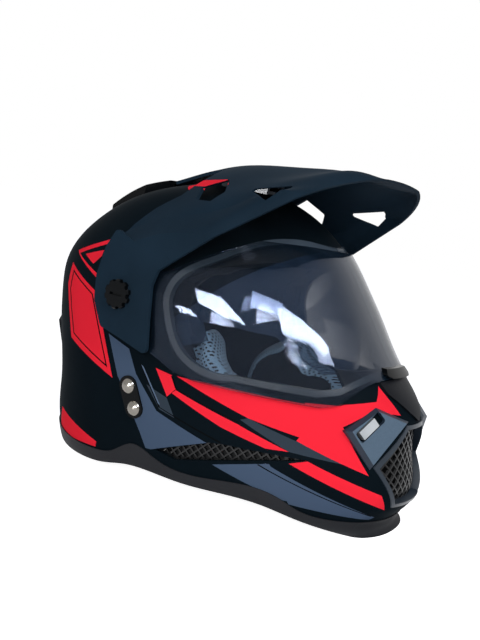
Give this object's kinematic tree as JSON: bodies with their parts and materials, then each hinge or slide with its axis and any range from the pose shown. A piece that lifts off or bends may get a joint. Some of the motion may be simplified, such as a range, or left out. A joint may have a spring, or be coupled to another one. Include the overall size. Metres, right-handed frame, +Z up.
{
  "type": "dual sport helmet",
  "caption": "Full-face road and trail helmet with a peak, clear face shield, drop-down sun visor, vented chin bar and padded lining.",
  "frame": {"origin": "on the floor, at the middle of the helmet's box", "axes": "+Z up, the face looks along -Y, the wearer's right is -X"},
  "size_m": [0.2738, 0.3671, 0.2827],
  "materials": {
    "shell_paint": "painted black outer shell with a light sheen",
    "trim_rubber": "soft dark grey rim moulding",
    "gasket_rubber": "black sealing rubber",
    "impact_foam": "expanded polystyrene, dark",
    "visor_tint": "smoke tinted polycarbonate",
    "shield_clear": "clear polycarbonate with a gloss coat",
    "gloss_black": "moulded gloss black",
    "satin_black": "moulded black",
    "peak_plastic": "painted black with a bluish sheen",
    "steel": "plated steel",
    "washer_plastic": "black washer plate",
    "webbing": "woven polyester strap",
    "pod_paint": "slate grey painted moulding",
    "slug_silver": "silver painted slider",
    "grille_black": "moulded black mesh",
    "pad_mesh": "light blue-grey mesh cloth over foam",
    "lining_cloth": "black brushed lining cloth"
  },
  "bodies": {
    "helmet": {"outer_shell": "shell_paint", "bottom_trim": "trim_rubber", "eyeport_gasket": "gasket_rubber", "eps_liner": "impact_foam", "sun_visor_pin_right": "satin_black", "sun_visor_pin_left": "satin_black", "pivot_plate_right": "satin_black", "pivot_plate_left": "satin_black", "peak_screw_right": "gloss_black", "peak_screw_left": "gloss_black", "rivet_washer_right": "washer_plastic", "rivet_washer_left": "washer_plastic", "chin_strap_right": "webbing", "chin_strap_left": "webbing", "strap_rivets": "steel", "buckle_body": "steel", "strap_tongue": "satin_black", "chin_grille_frame": "gloss_black", "chin_grille": "grille_black", "vent_pod_right": "pod_paint", "vent_pod_left": "pod_paint", "nose_trim": "satin_black", "side_grille_right": "grille_black", "side_grille_left": "grille_black", "top_vent_cover": "gloss_black", "rear_spoiler": "satin_black", "chin_foam": "impact_foam", "cheek_foam_right": "impact_foam", "cheek_foam_left": "impact_foam", "crown_pad": "lining_cloth", "cheek_pad_right": "pad_mesh", "cheek_pad_left": "pad_mesh", "neck_roll": "lining_cloth", "chin_curtain": "lining_cloth", "breath_deflector": "satin_black", "crown_scoop": "pod_paint"},
    "shield": {"face_shield": "shield_clear", "shield_tab": "gloss_black"},
    "sun_visor": {"sun_visor": "visor_tint"},
    "visor_lever": {"sun_visor_lever": "satin_black"},
    "peak": {"peak_shell": "peak_plastic"},
    "right_vent_slug": {"vent_slider_right": "slug_silver"},
    "left_vent_slug": {"vent_slider_left": "slug_silver"},
    "top_vent_slug": {"top_vent_slider": "satin_black"},
    "buckle_lever": {"buckle_lever": "slug_silver"}
  },
  "joints": [
    {"name": "shield_hinge", "type": "hinge", "parent": "helmet", "child": "shield", "pos_m": [0, 0.04252, 0.15138], "axis": [-1, 0, 0], "range_deg": [0, 30]},
    {"name": "sun_visor_hinge", "type": "hinge", "parent": "helmet", "child": "sun_visor", "pos_m": [0, 0.02308, 0.1143], "axis": [-1, 0, 0], "range_deg": [0, 41]},
    {"name": "sun_visor_lever_slide", "type": "slide", "parent": "helmet", "child": "visor_lever", "axis": [-0.0625, 0.998, -0.0094], "range_m": [0, 0.022]},
    {"name": "peak_tilt", "type": "hinge", "parent": "helmet", "child": "peak", "pos_m": [0, 0.04252, 0.15138], "axis": [-1, 0, 0], "range_deg": [0, 6]},
    {"name": "right_vent_slide", "type": "slide", "parent": "helmet", "child": "right_vent_slug", "axis": [0.6666, -0.3063, 0.6796], "range_m": [0, 0.004]},
    {"name": "left_vent_slide", "type": "slide", "parent": "helmet", "child": "left_vent_slug", "axis": [-0.6666, -0.3063, 0.6796], "range_m": [0, 0.004]},
    {"name": "top_vent_slide", "type": "slide", "parent": "helmet", "child": "top_vent_slug", "axis": [0, -0.8886, 0.4588], "range_m": [0, 0.005]},
    {"name": "buckle_lever_hinge", "type": "hinge", "parent": "helmet", "child": "buckle_lever", "pos_m": [-0.0167, 0.022, 0.0156], "axis": [0, -1, 0], "range_deg": [0, 60], "stiffness_Nm_per_rad": 0.02}
  ],
  "couplings": [
    {"joint": "sun_visor_lever_slide", "follows": "sun_visor_hinge", "m_per_rad": 0.03}
  ]
}
